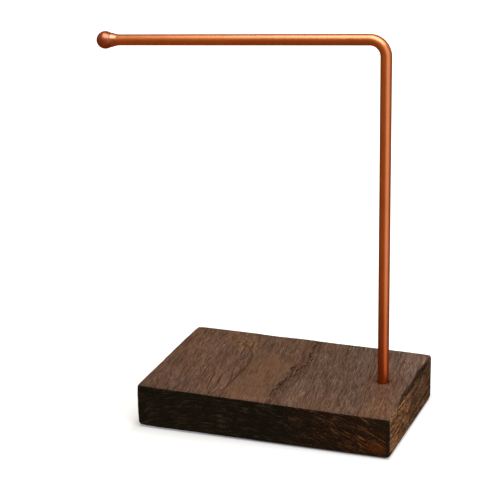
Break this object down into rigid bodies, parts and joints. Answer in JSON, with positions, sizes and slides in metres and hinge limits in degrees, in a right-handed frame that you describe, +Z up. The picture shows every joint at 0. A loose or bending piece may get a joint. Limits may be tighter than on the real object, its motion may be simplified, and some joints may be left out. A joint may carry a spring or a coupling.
{
  "type": "tabletop hanging stand",
  "caption": "Tabletop hanging stand: a bent round copper rod with a turned ball end reaches back over a thick dark stained timber block.",
  "frame": {"origin": "on the surface that the stand stands on, under the middle of its overall length and depth", "axes": "+Z up along the upright, +Y to the back along the timber's grain, +X along the block away from the arm's free end"},
  "size_m": [0.2964, 0.1474, 0.3551],
  "materials": {
    "stained_wood": "dark stain, satin, worn edges",
    "satin_copper": "satin, fine brushed, copper coloured",
    "plain_steel": "plain",
    "zinc_plate": "zinc plated",
    "felt": "pressed felt"
  },
  "bodies": {
    "block": {"base_block": "stained_wood", "flat_washer": "zinc_plate", "foot_pad_front_left": "felt", "foot_pad_front_right": "felt", "foot_pad_back_left": "felt", "foot_pad_back_right": "felt"},
    "swivel_arm": {"arm_rod": "satin_copper", "ball_finial": "satin_copper", "finial_stud": "plain_steel", "rod_screw": "zinc_plate", "lock_washer": "plain_steel"}
  },
  "joints": [
    {"name": "arm_swivel", "type": "hinge", "parent": "block", "child": "swivel_arm", "pos_m": [0.12238, 0.002, 0.0411], "axis": [0, 0, 1], "continuous": true}
  ]
}
